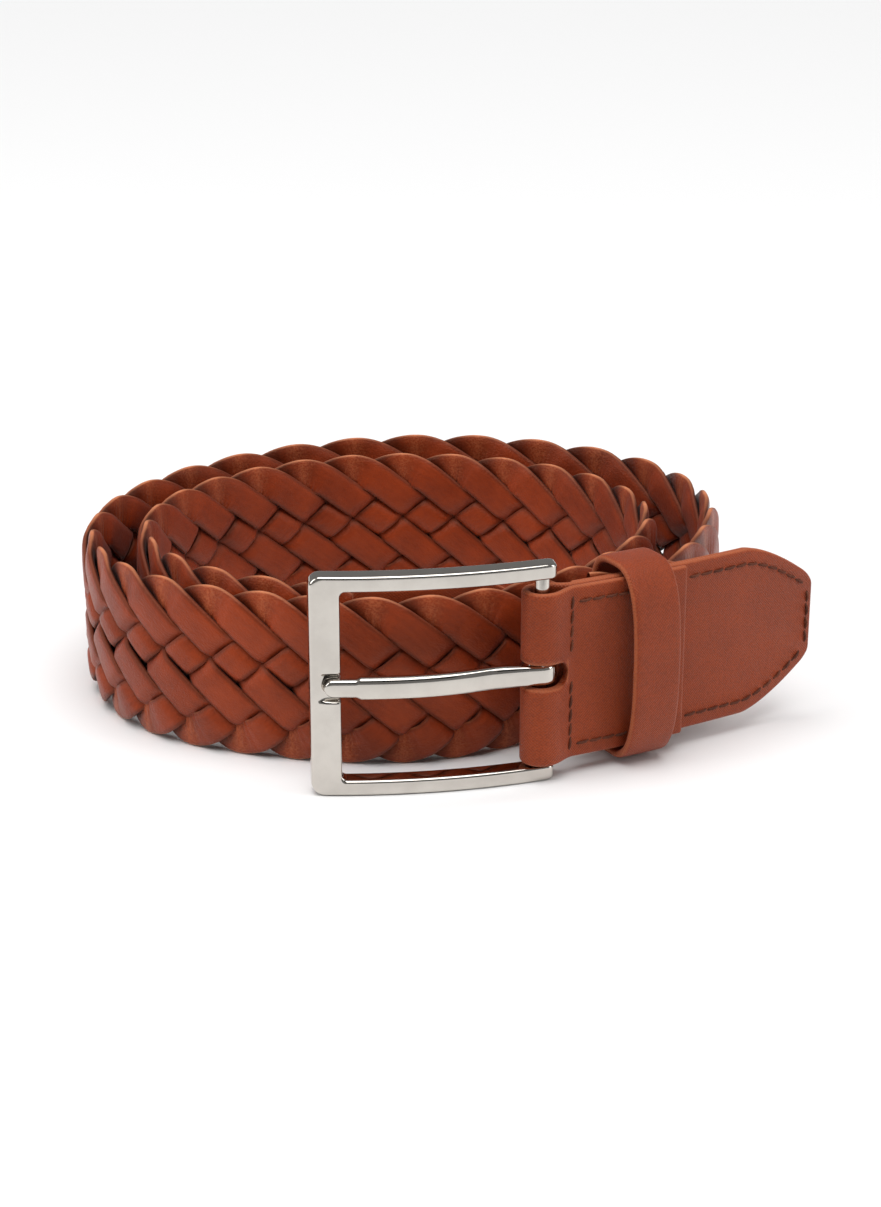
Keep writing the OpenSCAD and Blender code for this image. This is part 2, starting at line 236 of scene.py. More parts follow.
# the heading is eased so that no bend starts or stops sharply
ease = np.hanning(EASED_OVER) / np.hanning(EASED_OVER).sum()
route_head = np.convolve(np.pad(route_head, EASED_OVER // 2, mode="edge"), ease, "valid")
steps = np.column_stack([np.cos(route_head), np.sin(route_head)]) * FINE
route = np.concatenate([[[0, 0]], np.cumsum(steps, 0)])[:-1]
route += np.array([START_X, START_Y]) - [np.interp(0, route_s, route[:, i]) for i in (0, 1)]
LIFT, LIFT_GONE = 3.7, 95


def smooth(t):
    """0 below 0, 1 above 1, and eased between."""
    t = np.clip(t, 0, 1)
    return t * t * (3 - 2 * t)


def strap_point(s, v, w):
    """Millimetres in the shared frame: s along the strap, v above its middle, w out from the coil."""
    h = np.interp(s, route_s, route_head)
    lift = LIFT * (1 - smooth(s / LIFT_GONE))
    return np.stack([np.interp(s, route_s, route[:, 0]) + w * np.sin(h),
                     np.interp(s, route_s, route[:, 1]) - w * np.cos(h), STRAP_Z + lift + v], -1)


# ---- Strand leather -----------------------------------------------------------------------------
# Vegetable-tanned cowhide lace, dyed cognac and lightly waxed: fine grain running with the lace,
# a satin shine, painted shade under the crossings and along the laces' edges, and paler crushed fibre
# where it turns at the edges, partly a painted highlight.
def strand_leather():
    material, b, s = finish_for("strand_leather")
    place = b.attribute("lace", out=1)   # along, across, number
    b.node("ShaderNodeSeparateXYZ", Vector=place)
    along, across = Wire(b.tree, b.last.outputs[0]), Wire(b.tree, b.last.outputs[1])
    tight = b.attribute("tight")         # 1 in a turned corner
    sunk_shade = b.attribute("sunk_shade")           # 1 under another lace
    body = b.node("ShaderNodeTexCoord", out=3)
    broad = b.node("ShaderNodeTexNoise", Vector=body, Scale=38.0, Detail=3.0, Roughness=0.6)
    blotch = b.node("ShaderNodeTexNoise", Vector=body, Scale=160.0, Detail=4.0, Roughness=0.65)
    streak_at = b.node("ShaderNodeMapping", Vector=place, Scale=(0.22, 2.6, 1.0))
    streak = b.node("ShaderNodeTexNoise", Vector=streak_at, Scale=1.6, Detail=5.0, Roughness=0.6)
    grain_at = b.node("ShaderNodeMapping", Vector=place, Scale=(1.1, 4.2, 1.0))
    grain = b.node("ShaderNodeTexVoronoi", {"feature": "F1"}, Vector=grain_at, Scale=2.3)
    pore = b.node("ShaderNodeTexNoise", Vector=grain_at, Scale=3.4, Detail=6.0, Roughness=0.7)
    # painted shade along each lace's long edges, where the laces meet, but not in the turned corners
    crevice_shade = b.bands(across.size(), 0.72, 0.94) * (1 - tight)
    tone = (broad - 0.5) * 0.7 + (blotch - 0.5) * 0.5 + (streak - 0.5) * 0.35 + 0.5
    base = b.mix(b.bands(tone, 0.15, 0.85), (0.160, 0.0178, 0.0030), (0.326, 0.041, 0.0067))
    edge = b.bands(across.size() + (pore - 0.5) * 0.10, 0.90, 1.0)
    # paler cut fibre along the edges, strongest where the lace turns, and partly a painted highlight
    # there
    base = b.mix(edge * (tight * 0.85 + 0.1), base, (0.62, 0.230, 0.105))
    base = b.mix(b.bands(tight * (grain * 0.5 + pore), 0.45, 0.95) * 0.45, base, (0.50, 0.135, 0.052))
    base = b.mix(crevice_shade * 0.55, base, (0.060, 0.009, 0.0025))
    # painted shade under the crossing laces
    base = b.mix(sunk_shade * 0.85, base, (0.035, 0.0055, 0.0018))
    rough = 0.40 + (pore - 0.5) * 0.30 + edge * 0.18 + (blotch - 0.5) * 0.12
    height = grain * 0.5 + pore * 0.9 + streak * 0.25 + blotch * 0.3
    b.feed(s, Base_Color=base, Roughness=rough, Specular_IOR_Level=0.32,
           Specular_Tint=(1.0, 0.78, 0.62, 1), Sheen_Weight=0.06, Sheen_Roughness=0.45,
           Normal=b.node("ShaderNodeBump", Strength=0.55, Distance=0.00022, Height=height))
    return material


lace_material = strand_leather()

# ---- Seven laces, braided -----------------------------------------------------------------------
# Seven flat laces plaited into one strap, each crossing over two and under one, turning flat back
# on itself at both edges so that the strap's edges are a row of rounded scallops.
# Width and thickness of a lace, half the height between layers, the reach of its zigzag above the
# strap's middle, and how softly it turns there, in crossings
LACE_W, LACE_T, LAYER, ZIG, SOFT = 7.35, 1.8, 1.36, 16.4, 1.15
LACES, CROSSINGS, BRAID_END = 7, 14, 676
pitch_s, pitch_mm = np.array([[0, 14.6], [205, 15.0], [285, 11.2], [372, 10.8], [440, 12.2],
                              [695, 11.4]]).T
COUNT_STEP = 5.0
count_s = np.arange(0, 721, COUNT_STEP)
count_n = np.concatenate([[0], np.cumsum(COUNT_STEP / np.interp(count_s[:-1] + COUNT_STEP / 2,
                                                                pitch_s, pitch_mm))])
LAST = float(np.interp(BRAID_END, count_s, count_n))
OVER = np.array([0, 1, 1, -1, 1, 1, -1, 0, 1, -1, -1, 1, -1, -1, 0], float)


def lace_height(m):
    """Over (1), under (-1) or between, eased, at crossing m of 14."""
    m = np.mod(m, CROSSINGS)
    near = np.round(m)
    a, c = (OVER[x.astype(int) % CROSSINGS] for x in (near, near + np.where(m > near, 1, -1)))
    d = np.abs(m - near)
    plain = a + (c - a) * smooth((d - 0.18) / 0.60)
    corner = (np.abs(a) < 0.5) | (np.abs(c) < 0.5)
    straight = a + (c - a) * d
    return np.where(corner, straight * 0.5 + plain * 0.5, plain)


def lace_zig(m):
    """Height above the strap's middle at crossing m, from one edge to the other and back."""
    m = np.mod(m, CROSSINGS)
    d = np.where(m < 3.5, m, np.where(m > 10.5, CROSSINGS - m, np.abs(m - LACES)))
    r = np.where(d < SOFT, d * d / (2 * SOFT) + SOFT / 2, d)
    up = ZIG * (1 - r * 2 / LACES)
    return np.where((m < 3.5) | (m > 10.5), up, -up)


def tree_with(name, result, *wanted):
    """A geometry tree with named inputs: the tree, its bench and a wire from each input."""
    t = bpy.data.node_groups.new(name, "GeometryNodeTree")
    for label, kind, default in wanted:
        i = t.interface.new_socket(label, in_out="INPUT", socket_type="NodeSocket" + kind)
        if default is not None:
            i.default_value = default
    t.interface.new_socket(result, in_out="OUTPUT", socket_type="NodeSocketGeometry")
    entry = t.nodes.new("NodeGroupInput")
    return t, Bench(t), {s.name: Wire(t, s) for s in entry.outputs if s.name}


def lace_tree():
    """Sweeps a soft-edged flat section along a lace's guide points."""
    t, b, get = tree_with("lace_sweep", "Lace", ("Guide", "Geometry", None), ("Rows", "Int", 10),
                          ("Round", "Int", 20), ("Half width", "Float", 0.0035),
                          ("Half thickness", "Float", 0.00095), ("Leather", "Material", None))
    grid = b.node("GeometryNodeMeshGrid", Size_X=1.0, Size_Y=1.0, Vertices_X=get["Rows"],
                  Vertices_Y=get["Round"])
    i = b.node("GeometryNodeInputIndex")
    row = (i / get["Round"] + 0.0001)._sum("FLOOR")
    col = i - row * get["Round"]
    around = col / (get["Round"] - 1) * (2 * math.pi)

    def sampled(attribute, kind):
        a = b.node("GeometryNodeInputNamedAttribute", {"data_type": kind}, Name=attribute)
        n = t.nodes.new("GeometryNodeSampleIndex")
        n.data_type, n.domain = kind, "POINT"
        t.links.new(get["Guide"].socket, n.inputs[0])
        t.links.new(a.socket, n.inputs[1])
        t.links.new(row.socket, n.inputs["Index"])
        return Wire(t, n.outputs[0])

    cosine, sine = around._sum("COSINE"), around._sum("SINE")
    across = cosine._sum("SIGN") * (cosine.size() ** 0.55)
    deep = sine._sum("SIGN") * (sine.size() ** 0.42)
    centre, side, up = (sampled(a, "FLOAT_VECTOR") for a in ("centre", "side", "up"))
    tight, along = sampled("tight", "FLOAT"), sampled("along", "FLOAT")
    # height of the lace's line at five places across it, eased between
    lift = 0.0
    for j in range(5):
        weight = (1 - ((across + 1) * 2 - j).size()).most(0.0)
        lift = weight * sampled("lift_%d" % j, "FLOAT") + lift
    # the lace is crushed into fine pleats on the inside of a turned corner
    inner = (1 - across * sampled("hand", "FLOAT")) * 0.5
    pleat = (along * (2 * math.pi / 1.25) + across * 1.3).sine()
    crush = tight * (inner ** 1.5) * pleat * 0.16
    thick = get["Half thickness"] * (deep * (1 - across ** 4 * 0.42) + crush)
    place = b.vector("ADD", centre, i1=b.vector("SCALE", side, Scale=across * get["Half width"]))
    place = b.vector("ADD", place, i1=b.vector("SCALE", up, Scale=thick + lift))
    moved = b.node("GeometryNodeSetPosition", Geometry=grid, Position=place)
    # how deep a point lies under another lace, used for painted shade in the material
    sunk_shade = ((0.00070 - lift * sine._sum("SIGN")) / 0.0019).least(1.0).most(0.0)
    sunk_shade = sunk_shade * sampled("level", "FLOAT")
    for name, kind, value in (("tight", "FLOAT", tight), ("sunk_shade", "FLOAT", sunk_shade)):
        moved = b.node("GeometryNodeStoreNamedAttribute", {"data_type": kind, "domain": "POINT"},
                       Geometry=moved, Name=name, Value=value)
    lace = b.node("ShaderNodeCombineXYZ", X=along, Y=across, Z=sampled("number", "FLOAT"))
    moved = b.node("GeometryNodeStoreNamedAttribute",
                   {"data_type": "FLOAT_VECTOR", "domain": "POINT"},
                   Geometry=moved, Name="lace", Value=lace)
    closed = b.node("GeometryNodeMergeByDistance", Geometry=moved, Distance=1e-6)
    real = b.node("GeometryNodeRealizeInstances",
                  Geometry=b.node("GeometryNodeSetShadeSmooth", Geometry=closed))
    done = b.node("GeometryNodeSetMaterial", Geometry=real, Material=get["Leather"])
    b.feed(t.nodes.new("NodeGroupOutput"), i0=done)
    return t


def grown(name, tree, guide, inputs):
    """Runs a tree on a guide mesh and keeps the result as a plain mesh called name."""
    o = bpy.data.objects.new(name, guide)
    scene.collection.objects.link(o)
    mod = o.modifiers.new("make", "NODES")
    mod.node_group = tree
    sockets = {i.name: i.identifier for i in tree.interface.items_tree if i.item_type == "SOCKET"
               and i.in_out == "INPUT"}
    for k, v in inputs.items():
        mod[sockets[k]] = v
    bpy.context.view_layer.update()
    made = bpy.data.meshes.new_from_object(o.evaluated_get(bpy.context.evaluated_depsgraph_get()))
    o.modifiers.clear()
    o.data = made
    made.name = name
    bpy.data.meshes.remove(guide)
    return o


def mark(mesh, **values):
    """Stores vectors (n, 3) or numbers (n) on a mesh's points, in place of any of that name."""
    for k, v in values.items():
        v = np.asarray(v, np.float32)
        if k in mesh.attributes:
            mesh.attributes.remove(mesh.attributes[k])
        a = mesh.attributes.new(k, "FLOAT_VECTOR" if v.ndim == 2 else "FLOAT", "POINT")
        a.data.foreach_set("vector" if v.ndim == 2 else "value", v.ravel())


def guide_mesh(name, centre, **values):
    """Loose points for a tree to build on."""
    g = bpy.data.meshes.new(name + "_guide")
    g.from_pydata([tuple(c) for c in centre], [], [])
    mark(g, centre=centre, **values)
    return g


lace_sweep = lace_tree()
for k in range(LACES):
    # n counts scallops along the strap and m crossings along this lace; its rows lie closer in the
    # corners, where the pleats are
    n = [0.0]
    while n[-1] < LAST:
        m = ((n[-1] - k) * 2) % LACES
        n.append(n[-1] + (0.022 if min(m, LACES - m) < 1.0 else 0.06))
    n = np.array(n[:-1] + [LAST])
    m = np.mod((n - k) * 2, CROSSINGS)
    s = np.interp(n, count_n, count_s)
    v = lace_zig(m)
    e = 0.01
    dv = lace_zig(m + 2 * e) - lace_zig(m - 2 * e)
    ds = np.interp(n + e, count_n, count_s) - np.interp(n - e, count_n, count_s)
    a = np.arctan2(dv, ds)
    d_corner = np.minimum(np.mod(m, LACES), LACES - np.mod(m, LACES))
    tight = np.clip(1 - d_corner / 0.95, 0, 1) ** 0.8
    half = LACE_W / 2
    left = strap_point(s - np.sin(a) * half, v + np.cos(a) * half, 0)
    right = strap_point(s + np.sin(a) * half, v - np.cos(a) * half, 0)
    centre = strap_point(s, v, 0)
    side = (left - right) / LACE_W
    out = strap_point(s, v, 1) - centre
    # a lace tips along the lines of the laces it crosses: one edge dives before the other
    half_pitch, drop = np.interp(s, pitch_s, pitch_mm) / 2, ZIG * 2 / LACES
    lean = half / np.hypot(half_pitch, drop) / np.tan(2 * np.arctan2(drop, half_pitch))
    lean = np.where(m < LACES, -1, 1) * lean * np.clip(d_corner / 0.8, 0, 1)
    shingle = 0.16 * np.clip(d_corner / 0.8, 0, 1)
    lifts = {"lift_%d" % j: (LAYER * lace_height(m + lean * x) + shingle * x) / 1000
             for j, x in enumerate((-1, -0.5, 0, 0.5, 1))}
    g = guide_mesh("lace_%d" % (k + 1), centre / 1000, side=side, up=out, tight=tight,
                   along=s + (np.abs(v) * 0.4), **lifts, level=np.clip(d_corner / 0.5, 0, 1),
                   hand=np.where((m < 3.5) | (m > 10.5), 1.0, -1.0), number=np.full(len(n), k * 11.3))
    o = grown("lace_%d" % (k + 1), lace_sweep, g,
              {"Rows": len(n), "Round": 25, "Half width": LACE_W / 2000,
               "Half thickness": LACE_T / 2000, "Leather": lace_material})
    settle(o, "strap", "strand_%d" % (k + 1))


# ---- Tab leather --------------------------------------------------------------------------------
# The same cowhide as the laces but plated smoother, with a fine pressed pebble. Its cut edges are
# bevelled, dyed and burnished, and the dye has rubbed thin along them.
def tab_leather():
    material, b, s = finish_for("tab_leather")
    lay = b.attribute("lay", out=1)      # along, up and through the leather, in mm
    edge = b.attribute("edge")           # 1 on a cut edge
    body = b.node("ShaderNodeTexCoord", out=3)
    broad = b.node("ShaderNodeTexNoise", Vector=body, Scale=45.0, Detail=3.0, Roughness=0.6)
    blotch = b.node("ShaderNodeTexNoise", Vector=body, Scale=210.0, Detail=4.0, Roughness=0.65)
    turned = b.node("ShaderNodeMapping", Vector=lay, Rotation=(0, 0, 0.35), Scale=(1.0, 1.25, 1.0))
    pebble = b.node("ShaderNodeTexVoronoi", {"feature": "F1"}, Vector=turned, Scale=2.4,
                    Randomness=0.6)
    pore = b.node("ShaderNodeTexNoise", Vector=lay, Scale=3.2, Detail=6.0, Roughness=0.68)
    crease_at = b.node("ShaderNodeMapping", Vector=lay, Scale=(1.0, 0.25, 1.0))
    crease = b.node("ShaderNodeTexNoise", Vector=crease_at, Scale=0.9, Detail=4.0, Roughness=0.6)
    # a faint woven print, 0.62 mm a thread
    b.node("ShaderNodeSeparateXYZ", Vector=lay)
    warp, weft = (Wire(b.tree, b.last.outputs[i]) * (2 * math.pi / 0.62) + pore * 2.2 for i in (0, 1))
    linen = warp.sine() * weft.sine()
    tone = (broad - 0.5) * 0.45 + (blotch - 0.5) * 0.35 + (pore - 0.5) * 0.35 + 0.5
    base = b.mix(b.bands(tone, 0.15, 0.85), (0.206, 0.0265, 0.0050), (0.345, 0.051, 0.0103))
    base = b.mix(b.bands(pebble + linen * -0.15, 0.35, 0.75) * 0.40, base, (0.115, 0.016, 0.004))
    rub = b.bands(edge + (pore - 0.5) * 0.35 + (blotch - 0.5) * 0.25, 0.55, 0.95)
    base = b.mix(rub * 0.60, base, (0.45, 0.125, 0.050))
    rough = 0.43 + (pore - 0.5) * 0.28 + rub * 0.14 + (blotch - 0.5) * 0.12
    height = (1 - pebble) * 0.4 + pore * 0.55 + crease * 0.45 + linen * 0.30
    b.feed(s, Base_Color=base, Roughness=rough, Specular_IOR_Level=0.34,
           Specular_Tint=(1.0, 0.82, 0.68, 1), Sheen_Weight=0.06, Sheen_Roughness=0.45,
           Normal=b.node("ShaderNodeBump", Strength=0.7, Distance=0.00022, Height=height))
    return material


tab_material = tab_leather()


def section(h, a, k=18, arc=6):
    """A ply's cut section, (up, through): h half height, a half thickness, its edges rounded."""
    f = np.linspace(-1, 1, k)
    up = np.linspace(-np.pi / 2, np.pi / 2, arc + 2)[1:-1]
    front = np.stack([f * (h - a), np.full(k, a)], -1)
    top = np.stack([h - a + a * np.cos(up), -a * np.sin(up)], -1)
    back = np.stack([-f * (h - a), np.full(k, -a)], -1)
    low = np.stack([-(h - a) - a * np.cos(up), a * np.sin(up)], -1)
    return np.concatenate([front, top, back, low])


def ring_faces(m, c, closed=False):
    """Faces between c rings of m points each, joined end to end or capped."""
    faces = [(i * m + j, i * m + (j + 1) % m, (i + 1) % c * m + (j + 1) % m, (i + 1) % c * m + j)
             for i in range(c if closed else c - 1) for j in range(m)]
    ends = [] if closed else [tuple(range(m - 1, -1, -1)), tuple(range((c - 1) * m, c * m))]
    return faces + ends


BEVEL = 1.1     # how far the worn border of a cut edge reaches, mm


def ply_mesh(line, along, half, thick, z):
    """Closed shell of leather along a plan line, with its half heights and the z of its middle."""
    d = np.gradient(line, axis=0)
    d /= np.linalg.norm(d, axis=1)[:, None]
    side = np.column_stack([-d[:, 1], d[:, 0]])
    verts, lay, edge = [], [], []
    for p, n, u, h in zip(line, side, along, half):
        near = min(u - along[0], along[-1] - u)
        a = thick / 2
        # both ends are rounded like the long edges
        r = a * 0.9
        shrunk = a * (0.30 + 0.70 * math.sqrt(max(0.0, 1 - (1 - min(near / r, 1)) ** 2)))
        ring = section(h - (a - shrunk) * 0.6, shrunk)
        for up, through in ring:
            verts.append((p[0] + n[0] * through, p[1] + n[1] * through, z + up))
            lay.append((u, up, through))
            edge.append(max(0.0, 1 - min(near, h - abs(up)) / BEVEL))
    return (np.array(verts) / 1000, ring_faces(len(ring), len(line)), np.array(lay), np.array(edge))


def leather_piece(name, made, body, node):
    verts, faces, lay, edge = made
    o = mesh_piece(name, verts, faces, tab_material, body, node)
    mark(o.data, lay=lay, edge=edge)
    return o


# ---- The tab's line -----------------------------------------------------------------------------
# The tab is one strip folded round the hinge bar. The front flap stops short and the back one runs
# on as the tapered tongue; its line bends gently to follow the coil.
BAR = np.array([19.4, -56.3])
TAB_Z, TAB_H, TAB_T, BUCKLE_Z = 21.4, 35.4, 1.6, 22.25
TAB_HEADING, TAB_BEND = 24, 0.2      # degrees at the bar, and degrees more for each mm along
FLAP_END, TONGUE_END, TAPER_FROM, TONGUE_TIP = 31.6, 66.2, 48.0, 8.4


def tab_turn(q):
    """Which way the tab runs, q mm from the bar, in radians."""
    return np.radians(TAB_HEADING + TAB_BEND * np.asarray(q, float))


TAB_STEP = 0.25
tab_q = np.arange(0, 72.01, TAB_STEP)
mid_turn = tab_turn(tab_q)[:-1] + 0.0004
tab_way = BAR + np.concatenate([[[0, 0]], np.cumsum(TAB_STEP * np.column_stack(
    [np.cos(mid_turn), np.sin(mid_turn)]), 0)])


def tab_point(q, w):
    """Plan point q from the bar along the tab and w in front of its line."""
    h = tab_turn(q)
    return np.stack([np.interp(q, tab_q, tab_way[:, 0]) + w * np.sin(h),
                     np.interp(q, tab_q, tab_way[:, 1]) - w * np.cos(h)], -1)


FOLD_R, CLOSED = 3.2, 0.9            # from the tab's line to a flap's middle, at the bar and beyond


def flap_offset(q):
    """How far each flap lies from the tab's line, wide round the bar and closed after it."""
    return CLOSED + (FOLD_R - CLOSED) * (1 - smooth((np.asarray(q, float) - 0.5) / 6.0))


def tongue_half(q, h=TAB_H / 2, end=TONGUE_END, corner=2.4):
    """Half the tongue's height at q: level, then curving in to its blunt rounded tip."""
    q = np.asarray(q, float)
    t = np.clip((q - TAPER_FROM) / (end - TAPER_FROM), 0, 1)
    d = np.clip(q - (end - corner), 0, corner)
    rounding = (corner - np.sqrt(np.maximum(corner ** 2 - d ** 2, 0))) * 0.75
    return h - (h - TONGUE_TIP) * t ** 1.45 - rounding


# ---- Buckle tab ---------------------------------------------------------------------------------
# One strip of 1.6 mm plated cowhide, skived at the fold and wrapped round the hinge bar, with a slot
# for the prong. It is sewn through both flaps, with the braid's end caught between.
fold = [[BAR[0] + FOLD_R * math.cos(a), BAR[1] + FOLD_R * math.sin(a)]
        for a in np.radians(TAB_HEADING - 90 - np.linspace(0, 180, 37)[1:-1])]
q_front = np.concatenate([FLAP_END - np.array([0, 0.08, 0.2, 0.4, 0.7]),
                          np.arange(FLAP_END - 1, 0.6, -0.5), [0.5]])
q_back = np.concatenate([[0.5], np.arange(1, 65.3, 0.5),
                         TONGUE_END - np.array([0.8, 0.6, 0.4, 0.25, 0.12, 0.05, 0])])
strip = np.concatenate([tab_point(q_front, flap_offset(q_front)), fold,
                        tab_point(q_back, -flap_offset(q_back))])
strip_u = np.concatenate([[0], np.cumsum(np.linalg.norm(np.diff(strip, axis=0), axis=1))])
strip_half = np.concatenate([np.full(len(q_front) + len(fold), TAB_H / 2), tongue_half(q_back)])
tab = leather_piece("folded_tab", ply_mesh(strip, strip_u, strip_half, TAB_T, TAB_Z), "strap",
                    "buckle_tab")
SLOT_R, SLOT_AT = 2.6, 2.0           # the slot's round end and how far past the bar its middle is
punch_mesh = bpy.data.meshes.new("slot_punch")
ring = [(-14.0, -SLOT_R), (SLOT_AT, -SLOT_R)]
ring += [(SLOT_AT + SLOT_R * math.cos(a), SLOT_R * math.sin(a)) for a in np.linspace(-1.5, 1.5, 15)]
ring += [(SLOT_AT, SLOT_R), (-14.0, SLOT_R)]
ch, sh = math.cos(tab_turn(0)), math.sin(tab_turn(0))
punch_verts = [((BAR[0] + x * ch - y * sh) / 1000, (BAR[1] + x * sh + y * ch) / 1000,
                (BUCKLE_Z + z) / 1000) for y in (-9.0, 9.0) for x, z in ring]
c = len(ring)
punch_mesh.from_pydata(punch_verts, [], [tuple(range(c)), tuple(range(2 * c - 1, c - 1, -1))]
                       + [(i, i + c, (i + 1) % c + c, (i + 1) % c) for i in range(c)])
punch = bpy.data.objects.new("slot_punch", punch_mesh)
scene.collection.objects.link(punch)
outward(punch)
cut = tab.modifiers.new("slot", "BOOLEAN")
cut.operation, cut.solver, cut.object = "DIFFERENCE", "EXACT", punch
bpy.context.view_layer.update()
tab_cut = bpy.data.meshes.new_from_object(tab.evaluated_get(bpy.context.evaluated_depsgraph_get()))
tab.modifiers.clear()
tab.data = tab_cut
bpy.data.objects.remove(punch)
# where each point lies on the strip, measured again now that the slot is cut
at = np.array([v.co for v in tab_cut.vertices]) * 1000
near = np.array([int(np.argmin(((strip - p[:2]) ** 2).sum(1))) for p in at])
u, up = strip_u[near], at[:, 2] - TAB_Z
from_edge = np.minimum(strip_half[near] - np.abs(up), np.minimum(u - strip_u[0], strip_u[-1] - u))
u_slot = strip_u[len(q_front) + len(fold) // 2]
from_slot = np.maximum(np.abs(u - u_slot) - 9.5, np.abs(at[:, 2] - BUCKLE_Z) - SLOT_R)
mark(tab_cut, lay=np.column_stack([u, up, np.zeros(len(u))]),
     edge=np.clip(1 - np.minimum(from_edge, np.abs(from_slot)) / BEVEL, 0, 1))

# ---- Tongue lining ------------------------------------------------------------------------------
# A thinner ply of the same leather on the back of the tongue, cut a little smaller. It hides the
# braid's cut ends and is caught by the same stitches.
LINING_END, LINING_BEHIND, LINING_T = 65.9, 2.35, 1.2
q = np.concatenate([7.4 + np.array([0, 0.1, 0.25, 0.5]), np.arange(8.5, 65.1, 0.5),
                    LINING_END - np.array([0.7, 0.4, 0.2, 0.1, 0])])
leather_piece("lining", ply_mesh(tab_point(q, -LINING_BEHIND), q,
                                 tongue_half(q, TAB_H / 2 - 0.3, LINING_END), LINING_T, TAB_Z),
              "strap", "tongue_lining")

# ---- Keeper loop --------------------------------------------------------------------------------
# A strip of the same leather bent into a loop round tab and braid and closed at the back. It stands
# proud at the front, bowed by the strap tips pushed through it, and slides along the tab.
KEEP_AT, KEEP_MID, KEEP_D, KEEP_H, KEEP_W, KEEP_T = 21.7, -1.9, 18.4, 40.8, 10.5, 1.4
keep_turn = tab_turn(KEEP_AT)
keep_mid = tab_point(KEEP_AT, KEEP_MID)
round_a = np.linspace(math.pi, 3 * math.pi, 161)[:-1]   # from the middle of the back


def at_keeper(along, forward, up):
    """From the keeper's own millimetres to the shared frame's."""
    return np.stack([keep_mid[0] + along * math.cos(keep_turn) + forward * math.sin(keep_turn),
                     keep_mid[1] + along * math.sin(keep_turn) - forward * math.cos(keep_turn),
                     TAB_Z + up], -1)


def keeper_ring(grow):
    """Oval through the loop's leather: (forward, up), square behind and rounder in front."""
    c, s = np.cos(round_a), np.sin(round_a)
    e = np.where(c > 0, 2.75, 4.0)
    return np.column_stack([(KEEP_D / 2 - grow) * np.sign(c) * np.abs(c) ** (2 / e),
                            (KEEP_H / 2 - grow) * np.sign(s) * np.abs(s) ** (2 / e)])


outer, inner = keeper_ring(0.0), keeper_ring(KEEP_T)
middle, reach = (outer + inner) / 2, (outer - inner) / 2
profile = section(KEEP_W / 2, KEEP_T / 2, 10, 6)
keep_verts, keep_lay, keep_edge = [], [], []
girth = np.concatenate([[0], np.cumsum(np.linalg.norm(np.diff(middle, axis=0), axis=1))])
for j, (p, r, g) in enumerate(zip(middle, reach, girth)):
    # the edges lean in a little, where the strip is creased
    for along, through in profile:
        lean = -0.12 * (abs(along) / (KEEP_W / 2)) ** 4
        f, up = p + r * (through / (KEEP_T / 2) + lean)
        keep_verts.append(at_keeper(along, f, up))
        keep_lay.append((g, along, through))
        keep_edge.append(max(0.0, 1 - (KEEP_W / 2 - abs(along)) / BEVEL))
keep_faces = ring_faces(len(profile), len(middle), True)
leather_piece("keeper", (np.array(keep_verts) / 1000, keep_faces, np.array(keep_lay),
                         np.array(keep_edge)), "keeper", "keeper_loop")

# ---- Tip tab ------------------------------------------------------------------------------------
# Two plies cut to the same pointed shape, glued and sewn over the braid's other end so that it
# can be threaded through the buckle.
TIP_FROM, TIP_TO, TIP_HALF, TIP_T = 662, 701.6, 17.3, 1.3


def tip_offset(s):
    """From the strap's middle to a ply's, over the braid's end and closing past it."""
    return 0.7 + 2.3 * (1 - smooth((s - 676.5) / 9))


s = np.concatenate([TIP_FROM + np.array([0, 0.1, 0.25, 0.5]), np.arange(TIP_FROM + 1, 701.3, 0.75),
                    TIP_TO - np.array([0.25, 0.1, 0])])
half = TIP_HALF - 9.8 * np.clip((s - 685) / 16.5, 0, 1) ** 1.45
half -= 1.1 * np.clip((s - 700.0) / 1.6, 0, 1) ** 2
for which, hand in (("outer", 1), ("inner", -1)):
    line = strap_point(s, 0, hand * tip_offset(s))[:, :2]
    leather_piece("tip_ply_" + which, ply_mesh(line, s, half, TIP_T, STRAP_Z), "strap",
                  "tip_tab_" + which)


# ---- Nickel -------------------------------------------------------------------------------------
# Zinc-alloy castings, polished and nickel plated: bright and slightly warm, with faint polishing
# lines and patches of softer shine.
def nickel():
    material, b, s = finish_for("polished_nickel")
    body = b.node("ShaderNodeTexCoord", out=3)
    haze = b.node("ShaderNodeTexNoise", Vector=body, Scale=180.0, Detail=4.0, Roughness=0.6)
    lines_at = b.node("ShaderNodeMapping", Vector=body, Scale=(60.0, 60.0, 1400.0))
    lines = b.node("ShaderNodeTexNoise", Vector=lines_at, Scale=2.0, Detail=3.0)
    base = b.mix(b.bands(haze, 0.3, 0.7), (0.525, 0.490, 0.450), (0.585, 0.550, 0.505))
    rough = 0.06 + b.bands(haze, 0.45, 0.8) * 0.07 + (lines - 0.5) * 0.04
    bump = b.node("ShaderNodeBump", Strength=0.10, Distance=0.00004, Height=lines + haze * 0.5)
    b.feed(s, Base_Color=base, Metallic=1.0, Roughness=rough, Normal=bump)
    return material


nickel_material = nickel()
YAW = math.radians(188)
FRAME_L, FRAME_H = 44.8, 44.5


def frame_bow(x):
    """How far forward the frame's middle stands, x from the bar: a bow of 2.2 mm."""
    t = np.asarray(x, float) / FRAME_L
    return 2.2 * 4 * t * (1 - t) + 0.6 * t


def at_buckle(p):
    """From the buckle's own millimetres (x to the far bar, y forward, z up) to the shared frame."""
    p = np.asarray(p, float)
    return np.column_stack([BAR[0] + p[:, 0] * math.cos(YAW) - p[:, 1] * math.sin(YAW),
                            BAR[1] + p[:, 0] * math.sin(YAW) + p[:, 1] * math.cos(YAW),
                            BUCKLE_Z + p[:, 2]]) / 1000


def power(v, e):
    return np.sign(v) * np.abs(v) ** e


def nickel_piece(name, rings, body, node):
    """Skins equal rings of points and caps the ends."""
    mesh_piece(name, np.concatenate(rings), ring_faces(len(rings[0]), len(rings)), nickel_material,
               body, node)


